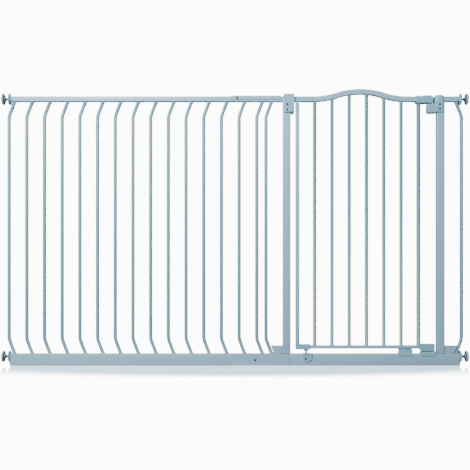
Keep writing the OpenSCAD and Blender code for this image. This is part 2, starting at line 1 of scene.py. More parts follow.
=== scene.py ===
import math

import bmesh
import bpy
from mathutils import Matrix, Vector


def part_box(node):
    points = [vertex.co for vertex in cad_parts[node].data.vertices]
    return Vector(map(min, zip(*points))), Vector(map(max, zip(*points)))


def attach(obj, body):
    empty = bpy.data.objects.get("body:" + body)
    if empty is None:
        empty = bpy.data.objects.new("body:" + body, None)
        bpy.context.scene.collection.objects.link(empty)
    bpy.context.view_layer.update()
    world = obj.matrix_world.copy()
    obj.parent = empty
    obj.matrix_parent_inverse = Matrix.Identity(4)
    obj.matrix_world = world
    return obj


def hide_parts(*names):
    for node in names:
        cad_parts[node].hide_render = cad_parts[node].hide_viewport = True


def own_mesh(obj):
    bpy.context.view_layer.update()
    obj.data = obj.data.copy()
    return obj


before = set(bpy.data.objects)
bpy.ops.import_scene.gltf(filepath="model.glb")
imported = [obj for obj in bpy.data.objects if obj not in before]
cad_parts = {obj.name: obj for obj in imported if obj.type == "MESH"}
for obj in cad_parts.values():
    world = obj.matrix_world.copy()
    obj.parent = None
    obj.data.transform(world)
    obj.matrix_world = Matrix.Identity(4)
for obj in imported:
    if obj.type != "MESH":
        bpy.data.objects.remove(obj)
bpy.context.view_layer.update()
bpy.ops.object.select_all(action="DESELECT")


# ---------------------------------------------------------------------------
# Studio. White walls and a polished white floor that mirrors the foot of the
# gate. A strong soft box stands high at the front left, weak ones at both sides
# and a strong one behind; the camera is square to the gate.

camera_data = bpy.data.cameras.new("front_camera")
camera_data.lens = 52.91
camera_data.sensor_width = 36
camera_data.shift_y = 0.0676
camera = bpy.data.objects.new("front_camera", camera_data)
camera.location = (0, -2.6, 0.37)
camera.rotation_euler = (math.radians(90), 0, 0)
bpy.context.scene.collection.objects.link(camera)
bpy.context.scene.camera = camera


def soft_box(name, place, aim, width, watts):
    lamp_data = bpy.data.lights.new(name, "AREA")
    lamp_data.size = width
    lamp_data.energy = watts
    lamp = bpy.data.objects.new(name, lamp_data)
    lamp.location = place
    lamp.rotation_euler = (Vector(aim) - Vector(place)).to_track_quat("-Z", "Y").to_euler()
    bpy.context.scene.collection.objects.link(lamp)
    return lamp


soft_box("key_soft_box", (-0.9, -1.95, 2.1), (0, 0, 0.7), 0.8, 135)
soft_box("side_soft_box", (-2.6, -1.6, 1.6), (0, 0, 0.6), 0.9, 30)
soft_box("right_soft_box", (1.9, -2.0, 0.9), (0.6, 0, 0.4), 0.9, 10)
# The back box's own image would show in the polished floor, so it gives no gloss
back_box = soft_box("back_soft_box", (0.9, 2.2, 2.1), (0, 0, 0.6), 1.0, 120)
back_box.visible_glossy = False

# The walls look bright white, straight on or in the polished floor, and light
# the gate only faintly, so that the soft boxes shape it
WALL_WHITE = 12
ROOM_LIGHT = 0.12
world = bpy.data.worlds.new("white_studio")
world.use_nodes = True
bpy.context.scene.world = world
sky = world.node_tree
room_light = sky.nodes["Background"]
room_light.inputs["Color"].default_value = (0.97, 0.985, 1, 1)
room_light.inputs["Strength"].default_value = ROOM_LIGHT
white_wall = sky.nodes.new("ShaderNodeBackground")
white_wall.inputs["Color"].default_value = (1, 1, 1, 1)
white_wall.inputs["Strength"].default_value = WALL_WHITE
seen = sky.nodes.new("ShaderNodeLightPath")
direct = sky.nodes.new("ShaderNodeMath")
direct.operation = "MAXIMUM"
sky.links.new(seen.outputs["Is Camera Ray"], direct.inputs[0])
sky.links.new(seen.outputs["Is Singular Ray"], direct.inputs[1])
wall_mix = sky.nodes.new("ShaderNodeMixShader")
sky.links.new(direct.outputs[0], wall_mix.inputs["Fac"])
sky.links.new(room_light.outputs[0], wall_mix.inputs[1])
sky.links.new(white_wall.outputs[0], wall_mix.inputs[2])
sky.links.new(wall_mix.outputs[0], sky.nodes["World Output"].inputs["Surface"])

# The floor is polished near the gate, with a faint pale-blue glow painted over
# its mirror there as painted reflection light, and fades to plain white further
# away. Seen from below, by the gate's own underside, it is dark paper
FLOOR_WIDTH = 60
NEARNESS_PER_METRE = (0.6, 2.4, 1)
MIRROR_GLOW_STARTS, MIRROR_GLOW_FULL = 0.15, 0.5
bpy.ops.mesh.primitive_plane_add(size=FLOOR_WIDTH)
floor = bpy.context.object
floor.name = "studio_floor"
sweep = bpy.data.materials.new("white_sweep")
sweep.use_nodes = True
tree = sweep.node_tree
paper = tree.nodes["Principled BSDF"]
paper.inputs["Base Color"].default_value = (0.12, 0.14, 0.15, 1)
paper.inputs["Roughness"].default_value = 0.4
place = tree.nodes.new("ShaderNodeTexCoord")
spot = tree.nodes.new("ShaderNodeMapping")
spot.inputs["Scale"].default_value = NEARNESS_PER_METRE
tree.links.new(place.outputs["Object"], spot.inputs["Vector"])
nearness = tree.nodes.new("ShaderNodeTexGradient")
nearness.gradient_type = "SPHERICAL"
tree.links.new(spot.outputs["Vector"], nearness.inputs["Vector"])
edge = tree.nodes.new("ShaderNodeMapRange")
edge.interpolation_type = "SMOOTHSTEP"
edge.inputs["From Min"].default_value = MIRROR_GLOW_STARTS
edge.inputs["From Max"].default_value = MIRROR_GLOW_FULL
tree.links.new(nearness.outputs["Fac"], edge.inputs["Value"])
glow = tree.nodes.new("ShaderNodeEmission")
glow.inputs["Color"].default_value = (1, 1, 1, 1)
glow.inputs["Strength"].default_value = WALL_WHITE
mirror_with_painted_glow = tree.nodes.new("ShaderNodeBsdfPrincipled")
mirror_with_painted_glow.inputs["Base Color"].default_value = (0.78, 0.78, 0.78, 1)
mirror_with_painted_glow.inputs["Metallic"].default_value = 1
mirror_with_painted_glow.inputs["Roughness"].default_value = 0
# Painted reflection light: a faint pale-blue glow on the mirror band, so the gate's reflection
# shows light and bluish
mirror_with_painted_glow.inputs["Emission Color"].default_value = (0.72, 1, 1.18, 1)
mirror_with_painted_glow.inputs["Emission Strength"].default_value = 1.4
shine = tree.nodes.new("ShaderNodeMixShader")
tree.links.new(edge.outputs["Result"], shine.inputs["Fac"])
tree.links.new(glow.outputs[0], shine.inputs[1])
tree.links.new(mirror_with_painted_glow.outputs[0], shine.inputs[2])
seen = tree.nodes.new("ShaderNodeLightPath")
both = tree.nodes.new("ShaderNodeMixShader")
tree.links.new(seen.outputs["Is Camera Ray"], both.inputs["Fac"])
tree.links.new(paper.outputs[0], both.inputs[1])
tree.links.new(shine.outputs[0], both.inputs[2])
tree.links.new(both.outputs[0], tree.nodes["Material Output"].inputs["Surface"])
floor.data.materials.append(sweep)


# ---------------------------------------------------------------------------
# Finishes. The steel is powder coated, which leaves a fine orange peel; the
# mouldings have a spark-eroded grain; fasteners are zinc plated. All of them
# have fine rub marks from handling and gather a little dust near the floor.

def new_group(name, inputs, outputs):
    group = bpy.data.node_groups.new(name, "ShaderNodeTree")
    for label, kind in inputs:
        group.interface.new_socket(label, in_out="INPUT", socket_type=kind)
    for label, kind in outputs:
        group.interface.new_socket(label, in_out="OUTPUT", socket_type=kind)
    return group, group.nodes.new("NodeGroupInput"), group.nodes.new("NodeGroupOutput")


def math_node(tree, operation, first, second):
    node = tree.nodes.new("ShaderNodeMath")
    node.operation = operation
    for socket, value in zip(node.inputs, (first, second)):
        if isinstance(value, (int, float)):
            socket.default_value = value
        else:
            tree.links.new(value, socket)
    return node.outputs[0]


def noise_node(tree, vector, scale, detail):
    node = tree.nodes.new("ShaderNodeTexNoise")
    tree.links.new(vector, node.inputs["Vector"])
    if isinstance(scale, (int, float)):
        node.inputs["Scale"].default_value = scale
    else:
        tree.links.new(scale, node.inputs["Scale"])
    node.inputs["Detail"].default_value = detail
    return node.outputs["Fac"]


# Fine relief of the skin, and the slow change of tone across it
skin, given, made = new_group(
    "skin_grain",
    [
        ("Vector", "NodeSocketVector"),
        ("Grain Scale", "NodeSocketFloat"),
        ("Tone Scale", "NodeSocketFloat"),
    ],
    [("Height", "NodeSocketFloat"), ("Tone", "NodeSocketFloat")],
)
PIT_DEPTH = 0.5
fine = noise_node(skin, given.outputs["Vector"], given.outputs["Grain Scale"], 2)
pits = skin.nodes.new("ShaderNodeTexVoronoi")
skin.links.new(given.outputs["Vector"], pits.inputs["Vector"])
skin.links.new(given.outputs["Grain Scale"], pits.inputs["Scale"])
pit_height = math_node(skin, "MULTIPLY", pits.outputs["Distance"], PIT_DEPTH)
skin.links.new(math_node(skin, "ADD", fine, pit_height), made.inputs["Height"])
slow = noise_node(skin, given.outputs["Vector"], given.outputs["Tone Scale"], 4)
skin.links.new(slow, made.inputs["Tone"])

# Dust that settles up to a given height above the floor, in an uneven line
dust, given, made = new_group(
    "floor_dust",
    [("Vector", "NodeSocketVector"), ("Reach", "NodeSocketFloat")],
    [("Mask", "NodeSocketFloat")],
)
split = dust.nodes.new("ShaderNodeSeparateXYZ")
dust.links.new(given.outputs["Vector"], split.inputs[0])
climb = math_node(dust, "DIVIDE", split.outputs["Z"], given.outputs["Reach"])
fall = math_node(dust, "MAXIMUM", math_node(dust, "SUBTRACT", 1, climb), 0)
SPECK_SCALE = 90
specks = noise_node(dust, given.outputs["Vector"], SPECK_SCALE, 6)
dust.links.new(math_node(dust, "MULTIPLY", fall, specks), made.inputs["Mask"])

# Short, thin rub marks that keep to patches: only the peaks of a stretched
# noise show, and only where a second, slow noise is high
STREAK_FLOOR, STREAK_GAIN = 0.66, 9
PATCH_SCALE, PATCH_FLOOR = 14, 0.45
marks, given, made = new_group(
    "rub_marks",
    [("Vector", "NodeSocketVector"), ("Scale", "NodeSocketFloat")],
    [("Mask", "NodeSocketFloat")],
)
stretch = marks.nodes.new("ShaderNodeMapping")
stretch.inputs["Rotation"].default_value = (0.2, 0.5, 0.3)
stretch.inputs["Scale"].default_value = (1, 6, 14)
marks.links.new(given.outputs["Vector"], stretch.inputs["Vector"])
streaks = noise_node(marks, stretch.outputs["Vector"], given.outputs["Scale"], 3)
streaks = math_node(marks, "SUBTRACT", streaks, STREAK_FLOOR)
streaks = math_node(marks, "MULTIPLY", streaks, STREAK_GAIN)
patches = noise_node(marks, given.outputs["Vector"], PATCH_SCALE, 2)
patches = math_node(marks, "SUBTRACT", patches, PATCH_FLOOR)
streaks = math_node(marks, "MULTIPLY", math_node(marks, "MAXIMUM", streaks, 0), patches)
streaks = math_node(marks, "MAXIMUM", streaks, 0)
marks.links.new(math_node(marks, "MINIMUM", streaks, 1), made.inputs["Mask"])


def mix_colours(tree, factor, first, second):
    node = tree.nodes.new("ShaderNodeMix")
    node.data_type = "RGBA"
    tree.links.new(factor, node.inputs["Factor"])
    for socket, value in ((node.inputs["A"], first), (node.inputs["B"], second)):
        if isinstance(value, tuple):
            socket.default_value = (*value, 1)
        else:
            tree.links.new(value, socket)
    return node.outputs["Result"]


DUST_COLOUR, DUST_REACH, DUST_SHARE = (0.5, 0.52, 0.52), 0.07, 0.3
RUB_SCALE, RUB_SHARE = 26, 0.35


def new_finish(name, colour, deep, grain, tone, gloss, relief, metal=0.0, rub=(0.62, 0.68, 0.72)):
    """A finish from the three groups. gloss is the lowest and highest roughness."""
    finish = bpy.data.materials.new(name)
    finish.use_nodes = True
    tree = finish.node_tree
    shader = tree.nodes["Principled BSDF"]
    shader.inputs["Metallic"].default_value = metal
    place = tree.nodes.new("ShaderNodeTexCoord").outputs["Object"]
    blocks = {}
    for group, values in (
        (skin, {"Grain Scale": grain, "Tone Scale": tone}),
        (dust, {"Reach": DUST_REACH}),
        (marks, {"Scale": RUB_SCALE}),
    ):
        block = tree.nodes.new("ShaderNodeGroup")
        block.node_tree = group
        tree.links.new(place, block.inputs["Vector"])
        for label, value in values.items():
            block.inputs[label].default_value = value
        blocks[group.name] = block.outputs
    skin_tone = blocks["skin_grain"]["Tone"]
    rubbed = math_node(tree, "MULTIPLY", blocks["rub_marks"]["Mask"], RUB_SHARE)
    dusty = math_node(tree, "MULTIPLY", blocks["floor_dust"]["Mask"], DUST_SHARE)
    base = mix_colours(tree, skin_tone, colour, deep)
    base = mix_colours(tree, rubbed, base, rub)
    base = mix_colours(tree, dusty, base, DUST_COLOUR)
    tree.links.new(base, shader.inputs["Base Color"])
    rough = math_node(tree, "MULTIPLY", skin_tone, gloss[1] - gloss[0])
    rough = math_node(tree, "ADD", rough, gloss[0])
    rough = math_node(tree, "ADD", rough, dusty)
    tree.links.new(rough, shader.inputs["Roughness"])
    bump = tree.nodes.new("ShaderNodeBump")
    bump.inputs["Strength"].default_value = 0.5
    bump.inputs["Distance"].default_value = relief
    tree.links.new(blocks["skin_grain"]["Height"], bump.inputs["Height"])
    tree.links.new(bump.outputs["Normal"], shader.inputs["Normal"])
    return finish


powder_coat = new_finish("powder_coat", (0.25, 0.45, 0.59), (0.21, 0.39, 0.52),
                         700, 5, (0.3, 0.46), 0.00025)
# The bars take the same powder coat painted about a third darker: painted shade for the round
# bars, not a different paint
bar_coat_painted_shade = new_finish("bar_powder_coat_painted_shade", (0.17, 0.31, 0.41), (0.14, 0.27, 0.36),
                      700, 5, (0.3, 0.46), 0.00025)
moulding = new_finish("moulded_plastic", (0.18, 0.41, 0.52), (0.15, 0.35, 0.45),
                      1500, 12, (0.4, 0.6), 0.0002)
dark_zinc = new_finish("dark_zinc", (0.045, 0.07, 0.085), (0.02, 0.035, 0.045),
                       1100, 60, (0.3, 0.5), 0.0001, metal=0.8, rub=(0.35, 0.38, 0.4))
bright_zinc = new_finish("bright_zinc", (0.52, 0.55, 0.58), (0.38, 0.42, 0.45),
                         900, 80, (0.22, 0.4), 0.00008, metal=1.0)
rubber = new_finish("wall_pad_rubber", (0.10, 0.14, 0.16), (0.07, 0.10, 0.12),
                    1300, 20, (0.7, 0.85), 0.0003)


# ---------------------------------------------------------------------------
# Bent bars. Round steel tube, 14 mm across, bent at both ends so that the bars
# miss the welds of the rails, then cut flat and welded on all round. Fifteen
# fill the extension panel and one stands at each end of the base frame.

def pick(*pieces):
    """Selects only these pieces. The first one is the active one."""
    bpy.ops.object.select_all(action="DESELECT")
    for piece in pieces:
        piece.select_set(True)
    bpy.context.view_layer.objects.active = pieces[0]


def start_piece(name):
    """Names the mesh that was just added and opens it, all selected."""
    piece = bpy.context.object
    piece.name = name
    piece.data.name = name
    bpy.ops.object.transform_apply(location=True, rotation=True, scale=True)
    bpy.ops.object.mode_set(mode="EDIT")
    bpy.ops.mesh.select_all(action="SELECT")
    return piece


def finish_piece(piece, finish, angle=40):
    if bpy.context.mode != "OBJECT":
        bpy.ops.object.mode_set(mode="OBJECT")
    pick(piece)
    bpy.ops.object.shade_smooth_by_angle(angle=math.radians(angle))
    piece.data.materials.clear()
    piece.data.materials.append(finish)
    bpy.ops.object.select_all(action="DESELECT")
    return piece


def fit(piece, body, slot, *nodes):
    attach(piece, body)
    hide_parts(*nodes)


def close_ends():
    """Caps the open rings and turns every face outwards."""
    bpy.ops.mesh.select_all(action="SELECT")
    bpy.ops.mesh.remove_doubles(threshold=0.000001)
    bpy.ops.mesh.fill_holes(sides=0)
    bpy.ops.mesh.select_all(action="SELECT")
    bpy.ops.mesh.normals_make_consistent(inside=False)


def pull(way, swell=1.0):
    """Draws the selected ring on by way, and widens or narrows it."""
    bpy.ops.mesh.extrude_region_move(TRANSFORM_OT_translate={"value": way})
    if swell != 1.0:
        bpy.ops.transform.resize(value=(swell, swell, swell))


def turn(centre, degrees, steps):
    """Bends the selected ring on round a line along Y through centre."""
    bpy.ops.mesh.spin(steps=steps, angle=math.radians(degrees), center=centre, axis=(0, 1, 0))


def another(piece, name, matrix):
    twin = piece.copy()
    twin.data = piece.data.copy()
    twin.name = name
    twin.data.name = name
    twin.data.transform(matrix)
    if matrix.determinant() < 0:
        twin.data.flip_normals()
    bpy.context.scene.collection.objects.link(twin)
    return twin


def joined(pieces, name):
    pick(*pieces)
    bpy.ops.object.join()
    pieces[0].name = name
    pieces[0].data.name = name
    bpy.ops.object.select_all(action="DESELECT")
    return pieces[0]


# The ends lean by 21 degrees and stand 20.7 mm beside the straight middle. They
# are drawn on past the rails, then cut flat where they meet them. A weld bead
# swells the last 1.2 mm and runs out over another 1.6 mm
BAR_R = 0.007
LEAN_DEGREES = 21
LEAN = math.radians(LEAN_DEGREES)
END_OFFSET = 0.0207
BEND_R = 0.060
BEND_STEPS = 6
FOOT_Z, HEAD_Z = 0.044, 0.990
MID_Z = (FOOT_Z + HEAD_Z) / 2
HALF_STRAIGHT = 0.40795
SLOPE_LENGTH = END_OFFSET / math.sin(LEAN) - BEND_R * math.tan(LEAN / 2)
SPARE = 0.006
BEAD_SWELL, BEAD_LENGTH, BEAD_TAPER = 1.12, 0.0012, 0.0016
up_and_in = Vector((-math.sin(LEAN), 0, math.cos(LEAN)))
up_and_out = Vector((math.sin(LEAN), 0, math.cos(LEAN)))


def bent_bar(name):
    """A bar whose straight middle stands on the Z axis."""
    start = Vector((END_OFFSET, 0, FOOT_Z)) - up_and_in * SPARE
    bpy.ops.mesh.primitive_circle_add(vertices=24, radius=BAR_R * BEAD_SWELL, fill_type="NOTHING",
                                      location=start, rotation=(0, -LEAN, 0))
    bar = start_piece(name)
    bare_slope = SLOPE_LENGTH - BEAD_LENGTH - BEAD_TAPER
    pull(up_and_in * (SPARE + BEAD_LENGTH))
    pull(up_and_in * BEAD_TAPER, 1 / BEAD_SWELL)
    pull(up_and_in * bare_slope)
    turn((BEND_R, 0, MID_Z - HALF_STRAIGHT), -LEAN_DEGREES, BEND_STEPS)
    pull((0, 0, 2 * HALF_STRAIGHT))
    turn((BEND_R, 0, MID_Z + HALF_STRAIGHT), -LEAN_DEGREES, BEND_STEPS)
    pull(up_and_out * bare_slope)
    pull(up_and_out * BEAD_TAPER, BEAD_SWELL)
    pull(up_and_out * (SPARE + BEAD_LENGTH))
    for end_z, outwards in ((FOOT_Z, -1), (HEAD_Z, 1)):
        bpy.ops.mesh.select_all(action="SELECT")
        bpy.ops.mesh.bisect(plane_co=(0, 0, end_z), plane_no=(0, 0, outwards),
                            clear_outer=True, use_fill=True)
    close_ends()
    # The darker bar coat is painted shade
    return finish_piece(bar, bar_coat_painted_shade, 50)


first_bar = bent_bar("bent_bar")
PANEL_BARS = 15
FIRST_BAR_X, LAST_BAR_X = -0.850, 0.082
HINGE_END_BAR_X, LATCH_END_BAR_X = 0.1165, 0.852
bar_gap = (LAST_BAR_X - FIRST_BAR_X) / (PANEL_BARS - 1)
bar_xs = [FIRST_BAR_X + i * bar_gap for i in range(PANEL_BARS)]
panel_bars = [another(first_bar, f"panel_bar_{i}", Matrix.Translation((x, 0, 0)))
              for i, x in enumerate(bar_xs)]
fit(joined(panel_bars, "extension_panel_bars"), "frame", "powder_coated_steel", "extension_bars")
hinge_end_bar = another(first_bar, "hinge_side_bent_bar",
                        Matrix.Translation((HINGE_END_BAR_X, 0, 0)))
fit(hinge_end_bar, "frame", "powder_coated_steel", "hinge_side_outer_bar")
latch_end_bar = another(first_bar, "latch_side_bent_bar",
                        Matrix.Translation((LATCH_END_BAR_X, 0, 0))
                        @ Matrix.Scale(-1, 4, (1, 0, 0)))
fit(latch_end_bar, "frame", "powder_coated_steel", "latch_side_outer_bar")
bpy.data.objects.remove(first_bar)


# ---------------------------------------------------------------------------
# Rails, posts and the door's square stile. Rolled rectangular steel tube with
# a small radius on its corners and a 1.5 mm wall, sawn square and left open at
# both ends for the plugs and connectors, then powder coated and welded up.

TUBE_WALL = 0.0015
OPEN_DEPTH = 0.016


def rolled_tube(node, name, body, along, corner):
    """A tube in that node's box. along is the axis it runs on: 0 for X, 2 for Z."""
    low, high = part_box(node)
    bpy.ops.mesh.primitive_cube_add(size=1, location=(low + high) / 2, scale=high - low)
    tube = start_piece(name)
    bpy.ops.mesh.select_all(action="DESELECT")
    bpy.ops.object.mode_set(mode="OBJECT")
    for edge in tube.data.edges:
        a, b = (tube.data.vertices[v].co for v in edge.vertices)
        edge.select = abs((b - a).normalized()[along]) > 0.9
    bpy.ops.object.mode_set(mode="EDIT")
    bpy.ops.mesh.select_mode(type="EDGE")
    bpy.ops.mesh.bevel(offset=corner, segments=4, affect="EDGES")
    bpy.ops.mesh.select_mode(type="FACE")
    bpy.ops.object.mode_set(mode="OBJECT")
    for face in tube.data.polygons:
        face.select = abs(face.normal[along]) > 0.9
    bpy.ops.object.mode_set(mode="EDIT")
    bpy.ops.mesh.inset(thickness=TUBE_WALL)
    for end, inward in ((low[along], OPEN_DEPTH), (high[along], -OPEN_DEPTH)):
        bpy.ops.mesh.select_all(action="DESELECT")
        bpy.ops.object.mode_set(mode="OBJECT")
        for face in tube.data.polygons:
            face.select = len(face.vertices) > 4 and abs(face.center[along] - end) < 0.0001
        bpy.ops.object.mode_set(mode="EDIT")
        way = [0, 0, 0]
        way[along] = inward
        pull(way)
    bpy.ops.mesh.select_mode(type="VERT")
    finish_piece(tube, powder_coat)
    fit(tube, body, "powder_coated_steel", node)


for node, name, body, along, corner in (
    ("threshold_rail", "threshold_tube", "frame", 0, 0.003),
    ("extension_bottom_rail", "extension_bottom_tube", "frame", 0, 0.003),
    ("extension_top_rail", "extension_top_tube", "frame", 0, 0.0022),
    ("hinge_side_top_rail", "hinge_side_top_tube", "frame", 0, 0.0022),
    ("latch_side_top_rail", "latch_side_top_tube", "frame", 0, 0.0022),
    ("hinge_post", "hinge_post_tube", "frame", 2, 0.003),
    ("latch_post", "latch_post_tube", "frame", 2, 0.003),
    ("door_bottom_rail", "door_bottom_tube", "door", 0, 0.002),
    ("door_hinge_stile", "door_hinge_stile_tube", "door", 2, 0.002),
):
    rolled_tube(node, name, body, along, corner)


# ---------------------------------------------------------------------------
# The door's arched top rail. A 20 mm square tube bent three times on the same
# 284 mm former: up from the flat end, over the crest and back down to flat. It
# is welded to the uprights and ends inside the hinge corner and the handle.

RAIL_W, RAIL_CORNER = 0.020, 0.0022
RAIL_X0, RAIL_X1 = 0.291, 0.7015
RAIL_AXIS_Z = 1.000
CREST_X, CREST_RISE, HALF_ARCH = 0.470, 0.028, 0.176
ARCH_TURN = 2 * math.degrees(math.atan(CREST_RISE / HALF_ARCH))
ARCH_R = HALF_ARCH / 2 / math.sin(math.radians(ARCH_TURN))
bpy.ops.mesh.primitive_plane_add(size=RAIL_W, location=(RAIL_X0, 0, RAIL_AXIS_Z),
                                 rotation=(0, math.radians(90), 0))
arched_rail = start_piece("door_arched_rail")
bpy.ops.mesh.bevel(offset=RAIL_CORNER, segments=4, affect="VERTICES")
bpy.ops.mesh.select_all(action="SELECT")
bpy.ops.mesh.delete(type="ONLY_FACE")
bpy.ops.mesh.select_all(action="SELECT")
pull((CREST_X - HALF_ARCH - RAIL_X0, 0, 0))
turn((CREST_X - HALF_ARCH, 0, RAIL_AXIS_Z + ARCH_R), ARCH_TURN, 12)
turn((CREST_X, 0, RAIL_AXIS_Z + CREST_RISE - ARCH_R), -2 * ARCH_TURN, 24)
turn((CREST_X + HALF_ARCH, 0, RAIL_AXIS_Z + ARCH_R), ARCH_TURN, 12)
pull((RAIL_X1 - CREST_X - HALF_ARCH, 0, 0))
close_ends()
finish_piece(arched_rail, powder_coat, 30)
fit(arched_rail, "door", "powder_coated_steel", "door_top_rail")


# ---------------------------------------------------------------------------
# The door's round uprights. Six 14 mm bars and the 16 mm latch stile, cut to
# the rails and welded all round, so each end swells into a small bead.

def rail_underside(x):
    """Height of the arched rail's lower face at x."""
    from_crest = abs(x - CREST_X)
    if from_crest >= HALF_ARCH:
        return RAIL_AXIS_Z - RAIL_W / 2
    if from_crest >= HALF_ARCH / 2:
        along = HALF_ARCH - from_crest
        rise = ARCH_R - math.sqrt(ARCH_R ** 2 - along ** 2)
    else:
        along = from_crest
        rise = CREST_RISE - ARCH_R + math.sqrt(ARCH_R ** 2 - along ** 2)
    return RAIL_AXIS_Z + rise - RAIL_W / 2 / math.cos(math.asin(along / ARCH_R))


# A weld bead is 1.5 mm thick and runs out over 1.8 mm. The head goes 2 mm on
# into the rail, because the rail's lower face curves over it
UPRIGHT_FOOT_Z, STILE_HEAD_Z = 0.0745, 0.9825
BEAD_THICK, FOOT_BEAD, HEAD_BEAD, BEAD_RUN_OUT, INTO_RAIL = 0.0015, 0.0010, 0.0014, 0.0018, 0.0020


def upright(name, node, radius, head):
    swell = 1 + BEAD_THICK / radius
    low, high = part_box(node)
    bare = head - UPRIGHT_FOOT_Z - FOOT_BEAD - HEAD_BEAD - 2 * BEAD_RUN_OUT
    bpy.ops.mesh.primitive_circle_add(vertices=32, radius=radius * swell, fill_type="NOTHING",
                                      location=((low.x + high.x) / 2, 0, UPRIGHT_FOOT_Z))
    tube = start_piece(name)
    pull((0, 0, FOOT_BEAD))
    pull((0, 0, BEAD_RUN_OUT), 1 / swell)
    pull((0, 0, bare))
    pull((0, 0, BEAD_RUN_OUT), swell)
    pull((0, 0, HEAD_BEAD + INTO_RAIL))
    close_ends()
    # The darker bar coat is painted shade
    finish_piece(tube, bar_coat_painted_shade, 50)
    fit(tube, "door", "powder_coated_steel", node)


for i in range(1, 7):
    low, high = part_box(f"door_bar_{i}")
    upright(f"door_upright_{i}", f"door_bar_{i}", 0.007, rail_underside((low.x + high.x) / 2))
upright("door_latch_stile_tube", "door_latch_stile", 0.008, STILE_HEAD_Z)


# ---------------------------------------------------------------------------
# Mouldings and pressings. Brackets, hinge blocks, handle shells, clips and
# plugs are moulded and held by screws and snap fits; gussets and connectors are
# pressed from sheet and welded or bolted on. All of them have rounded edges.

ROUNDED_FROM = 0.004


def rounded_part(node, name, body, slot, finish, radius):
    """The node's shape with a radius on each sharp outward edge that isn't short."""
    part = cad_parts[node].copy()
    part.data = part.data.copy()
    part.name = name
    part.data.name = name
    part.parent = None
    for key in list(part.keys()):
        del part[key]
    bpy.context.scene.collection.objects.link(part)
    pick(part)
    bpy.ops.object.mode_set(mode="EDIT")
    bpy.ops.mesh.select_all(action="SELECT")
    bpy.ops.mesh.remove_doubles(threshold=0.00001)
    bpy.ops.mesh.dissolve_limited(angle_limit=math.radians(1))
    bpy.ops.mesh.select_mode(type="EDGE")
    bpy.ops.mesh.select_all(action="DESELECT")
    bpy.ops.mesh.edges_select_sharp(sharpness=math.radians(40))
    bpy.ops.object.mode_set(mode="OBJECT")
    shape = bmesh.new()
    shape.from_mesh(part.data)
    outward = {edge.index for edge in shape.edges if edge.is_convex}
    shape.free()
    weights = part.data.attributes.new("bevel_weight_edge", "FLOAT", "EDGE")
    shortest = max(ROUNDED_FROM, 6 * radius)
    for edge in part.data.edges:
        a, b = (part.data.vertices[v].co for v in edge.vertices)
        rounded = edge.select and edge.index in outward and (b - a).length > shortest
        weights.data[edge.index].value = 1.0 if rounded else 0.0
    edging = part.modifiers.new("rounded_edges", "BEVEL")
    edging.limit_method = "WEIGHT"
    edging.width = radius
    edging.segments = 3
    edging.use_clamp_overlap = False
    bpy.ops.object.modifier_apply(modifier="rounded_edges")
    part.data.attributes.remove(part.data.attributes["bevel_weight_edge"])
    finish_piece(part, finish, 35)
    flatten = part.modifiers.new("flat_faces", "WEIGHTED_NORMAL")
    flatten.keep_sharp = True
    flatten.weight = 100
    bpy.ops.object.modifier_apply(modifier="flat_faces")
    fit(part, body, slot, node)


for node, name, body, radius in (
    ("upper_hinge_bracket", "upper_hinge_housing", "frame", 0.0026),
    ("upper_hinge_arm", "upper_hinge_slide", "hinge_carrier", 0.0008),
    ("lower_hinge_socket", "lower_hinge_insert", "frame", 0.0010),
    ("catch_bracket", "catch_housing", "frame", 0.0024),
    ("floor_catch", "floor_catch_clip", "frame", 0.0004),
    ("door_rest_block", "door_rest_clip", "frame", 0.0006),
    ("door_upper_hinge_block", "door_upper_hinge_corner", "door", 0.0014),
    ("door_lower_hinge_block", "door_lower_hinge_corner", "door", 0.0014),
    ("handle_front_shell", "handle_front_cover", "door", 0.0012),
    ("handle_back_shell", "handle_back_cover", "door", 0.0012),
    ("thumb_slider", "thumb_button", "bolt_slide", 0.0004),
    ("latch_bolt", "latch_tongue", "bolt_slide", 0.0005),
    ("latch_foot", "door_latch_foot", "door", 0.0020),
    ("post_caps", "post_top_caps", "frame", 0.0004),
    ("top_tube_bushes", "top_tube_collars", "frame", 0.0005),
    ("bottom_tube_bushes", "bottom_tube_plugs", "frame", 0.0012),
):
    rounded_part(node, name, body, "moulded_plastic", moulding, radius)

for node, name, radius in (
    ("hinge_side_gusset", "hinge_side_cover_plate", 0.0020),
    ("latch_side_gusset", "latch_side_cover_plate", 0.0020),
    ("top_connector", "top_rail_saddle", 0.0005),
    ("bottom_connector", "bottom_rail_plates", 0.0005),
):
    rounded_part(node, name, "frame", "powder_coated_steel", powder_coat, radius)


# ---------------------------------------------------------------------------
# Hinge pins and springs. The pins are turned from zinc-plated bar; the torsion
# spring round the lower pin and the compression spring behind the bolt are
# wound from spring wire. The real second one shortens as the bolt is drawn
# back; here it is built at a single length.

for node in ("upper_hinge_pin", "lower_hinge_pin"):
    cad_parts[node].data.materials.clear()
    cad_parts[node].data.materials.append(bright_zinc)


COIL_STEPS = 28


def coil(name, wire_r, mean_r, length, turns):
    """A coil standing on the floor about the Z axis."""
    bpy.ops.mesh.primitive_circle_add(vertices=10, radius=wire_r, fill_type="NOTHING",
                                      location=(mean_r, 0, wire_r),
                                      rotation=(math.radians(90), 0, 0))
    spring = start_piece(name)
    bpy.ops.object.mode_set(mode="OBJECT")
    winding = spring.modifiers.new("winding", "SCREW")
    winding.axis = "Z"
    winding.steps = COIL_STEPS
    winding.render_steps = COIL_STEPS
    winding.iterations = turns
    winding.screw_offset = (length - 2 * wire_r) / turns
    bpy.ops.object.modifier_apply(modifier="winding")
    bpy.ops.object.mode_set(mode="EDIT")
    close_ends()
    return finish_piece(spring, bright_zinc, 60)


